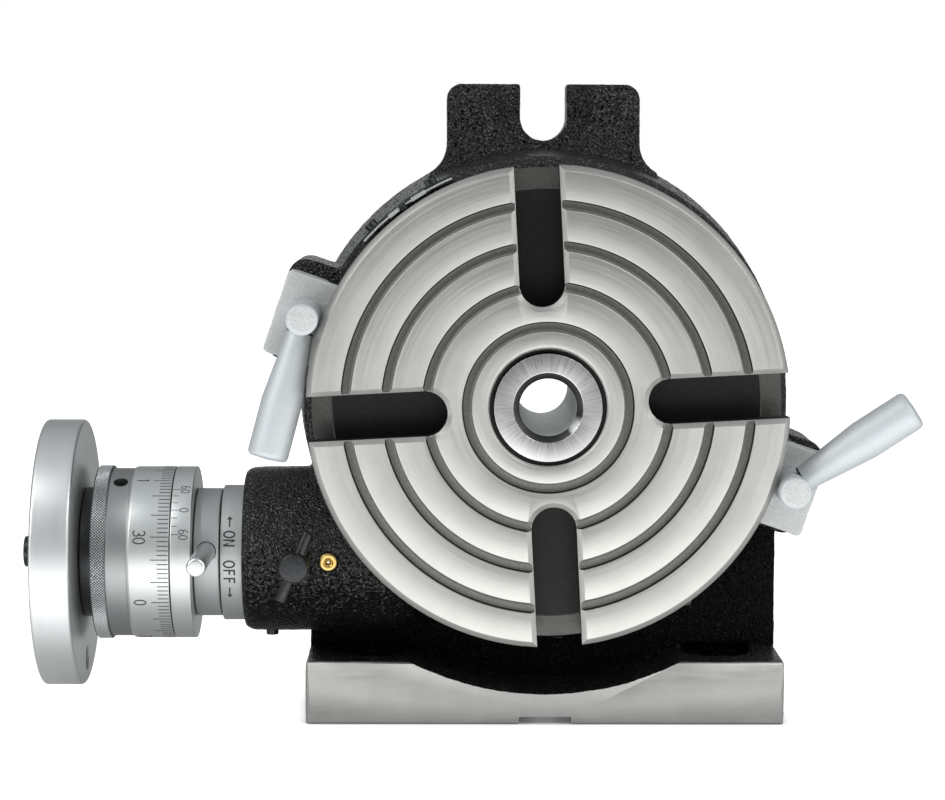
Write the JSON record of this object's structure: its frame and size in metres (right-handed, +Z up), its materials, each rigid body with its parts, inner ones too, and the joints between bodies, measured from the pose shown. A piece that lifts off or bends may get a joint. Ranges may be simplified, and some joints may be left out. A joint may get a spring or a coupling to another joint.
{
  "type": "rotary table",
  "caption": "Horizontal and vertical rotary table: T-slotted face on a worm wheel, with handwheel, dial, eccentric worm release, lever clamps and footed base.",
  "frame": {"origin": "on the surface it stands on, under the middle of its box in X and Y", "axes": "+Z up, the table faces -Y, the handwheel is at -X"},
  "size_m": [0.2852, 0.099, 0.2041],
  "materials": {
    "black_casting": "coarse black casting paint with a slight gloss, on cast iron",
    "machined_iron": "turned cast iron, fine circular tool marks",
    "satin_steel": "satin turned steel",
    "black_oxide": "black oxide on steel",
    "silver_paint": "smooth silver paint",
    "silver_rough_paint": "silver paint on a rough casting",
    "brass": "turned brass",
    "bronze": "hobbed and turned bronze",
    "spindle_steel": "ground steel",
    "aluminium": "satin turned aluminium",
    "spring_steel": "spring and key steel"
  },
  "bodies": {
    "base": {"base_casting": "black_casting", "spindle_bush": "bronze", "rear_thrust_washer": "bronze", "on_off_collar": "satin_steel", "boss_plug": "black_oxide", "index_plate": "satin_steel", "index_screw_1": "black_oxide", "index_screw_2": "black_oxide", "oiler_body": "brass", "oiler_spring": "spring_steel"},
    "rotary_table": {"table": "machined_iron", "spindle_sleeve": "spindle_steel", "worm_wheel": "bronze", "wheel_screw_1": "black_oxide", "wheel_screw_2": "black_oxide", "wheel_screw_3": "black_oxide", "wheel_screw_4": "black_oxide", "spindle_locknut": "black_oxide", "locknut_set_screw": "black_oxide"},
    "cam_sleeve": {"eccentric_sleeve": "satin_steel", "cam_lever": "satin_steel", "vernier_ring": "satin_steel", "thrust_bearing": "satin_steel"},
    "worm": {"worm_shaft": "satin_steel", "dial_spacer": "black_oxide", "handwheel": "aluminium", "handwheel_key": "spring_steel", "handwheel_bolt": "black_oxide"},
    "dial": {"dial_barrel": "satin_steel", "dial_set_screw": "black_oxide"},
    "left_clamp": {"left_clamp_plate": "silver_rough_paint"},
    "left_lever": {"left_clamp_screw": "silver_paint", "left_clamp_lever": "silver_paint"},
    "right_clamp": {"right_clamp_plate": "silver_rough_paint"},
    "right_lever": {"right_clamp_screw": "silver_paint", "right_clamp_lever": "silver_paint"},
    "lock": {"lock_screw": "black_oxide", "lock_screw_bar": "black_oxide"},
    "oiler_valve": {"oiler_ball": "satin_steel"}
  },
  "joints": [
    {"name": "table_spin", "type": "hinge", "parent": "base", "child": "rotary_table", "pos_m": [0.0259, -0.0395, 0.10305], "axis": [0, 1, 0], "continuous": true},
    {"name": "cam_throw", "type": "hinge", "parent": "base", "child": "cam_sleeve", "pos_m": [-0.0541, 0.00926, 0.05149], "axis": [1, 0, 0], "range_deg": [0, 50]},
    {"name": "worm_spin", "type": "hinge", "parent": "cam_sleeve", "child": "worm", "pos_m": [-0.0541, 0.0065, 0.05198], "axis": [1, 0, 0], "continuous": true},
    {"name": "dial_set", "type": "hinge", "parent": "worm", "child": "dial", "pos_m": [-0.1041, 0.0065, 0.05198], "axis": [1, 0, 0], "continuous": true},
    {"name": "left_clamp_press", "type": "slide", "parent": "base", "child": "left_clamp", "axis": [0, 1, 0], "range_m": [0, 0.0002084]},
    {"name": "left_lever_turn", "type": "hinge", "parent": "left_clamp", "child": "left_lever", "pos_m": [-0.04976, -0.0275, 0.13029], "axis": [0, 1, 0], "range_deg": [0, 60]},
    {"name": "right_clamp_press", "type": "slide", "parent": "base", "child": "right_clamp", "axis": [0, 1, 0], "range_m": [-0.0001435, 0.000065]},
    {"name": "right_lever_turn", "type": "hinge", "parent": "right_clamp", "child": "right_lever", "pos_m": [0.10203, -0.0275, 0.07719], "axis": [0, 1, 0], "range_deg": [-41.3, 18.7]},
    {"name": "lock_turn", "type": "hinge", "parent": "base", "child": "lock", "pos_m": [-0.0532, -0.0265, 0.05175], "axis": [0, 1, 0], "range_deg": [-180, 0]},
    {"name": "oiler_press", "type": "slide", "parent": "base", "child": "oiler_valve", "axis": [0, 1, 0], "range_m": [0, 0.0006], "stiffness_N_per_m": 20}
  ],
  "couplings": [
    {"joint": "worm_spin", "follows": "table_spin", "ratio": 90},
    {"joint": "left_clamp_press", "follows": "left_lever_turn", "m_per_rad": 0.00019894},
    {"joint": "right_clamp_press", "follows": "right_lever_turn", "m_per_rad": 0.00019894}
  ]
}
